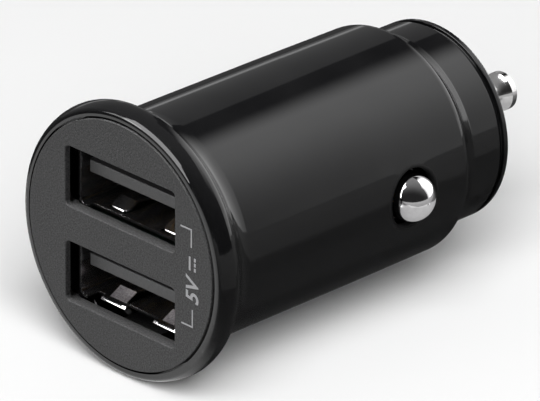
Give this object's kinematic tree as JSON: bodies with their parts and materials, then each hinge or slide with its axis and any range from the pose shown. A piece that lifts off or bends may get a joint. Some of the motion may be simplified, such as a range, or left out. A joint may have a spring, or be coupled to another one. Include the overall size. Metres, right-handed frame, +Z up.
{
  "type": "car usb charger plug",
  "caption": "Slim round vehicle charger plug: gloss barrel with a rounded flange, matte face with stacked USB ports, sprung side contacts and a sprung centre tip.",
  "frame": {"origin": "on the plug's axis, in the front face of the face plate, between the two port mouths", "axes": "+Y along the axis from the face to the tip, the way the plug goes into its socket; +X to the right seen from the front; +Z up, with the ports one above the other"},
  "size_m": [0.0242, 0.046, 0.0242],
  "materials": {
    "shell_black": "polished moulded black",
    "plate_charcoal": "fine spark-eroded charcoal",
    "nickel": "bright nickel plate",
    "spring_steel": "bare spring wire",
    "spring_bronze": "rolled phosphor bronze",
    "terminal_brass": "rolled brass",
    "board_green": "solder mask on glass fibre",
    "shield_tin": "tin-plated steel sheet",
    "tongue_charcoal": "moulded charcoal",
    "strip_gold": "flash gold",
    "can_aluminium": "drawn can",
    "ferrite": "pressed ferrite",
    "copper_wire": "lacquered copper wire",
    "chip_black": "moulded epoxy",
    "chip_tan": "ceramic",
    "fuse_white": "ceramic"
  },
  "bodies": {
    "housing": {"barrel_shell": "shell_black", "face_plate": "plate_charcoal", "nose_cap": "shell_black", "tip_spring": "spring_steel", "tip_terminal": "terminal_brass", "contact_leaf_right": "spring_bronze", "contact_leaf_left": "spring_bronze", "circuit_board": "board_green", "upper_port_shield": "shield_tin", "upper_port_tongue": "tongue_charcoal", "upper_port_contacts": "strip_gold", "lower_port_shield": "shield_tin", "lower_port_tongue": "tongue_charcoal", "lower_port_contacts": "strip_gold", "input_capacitor": "can_aluminium", "output_capacitor": "can_aluminium", "inductor_core": "ferrite", "inductor_winding": "copper_wire", "buck_controller": "chip_black", "rectifier_diode": "chip_black", "port_controller": "chip_black", "input_fuse": "fuse_white", "chip_resistors": "chip_black", "chip_capacitors": "chip_tan"},
    "tip": {"tip_pin": "nickel"},
    "right_contact": {"side_contact_right": "nickel"},
    "left_contact": {"side_contact_left": "nickel"}
  },
  "joints": [
    {"name": "tip_press", "type": "slide", "parent": "housing", "child": "tip", "axis": [0, -1, 0], "range_m": [0, 0.0022], "stiffness_N_per_m": 900, "springref_m": -0.003, "deforming": ["tip_spring"]},
    {"name": "right_contact_press", "type": "slide", "parent": "housing", "child": "right_contact", "axis": [-1, 0, 0], "range_m": [0, 0.0018], "stiffness_N_per_m": 800, "springref_m": -0.002, "deforming": ["contact_leaf_right"]},
    {"name": "left_contact_press", "type": "slide", "parent": "housing", "child": "left_contact", "axis": [1, 0, 0], "range_m": [0, 0.0018], "stiffness_N_per_m": 800, "springref_m": -0.002, "deforming": ["contact_leaf_left"]}
  ]
}
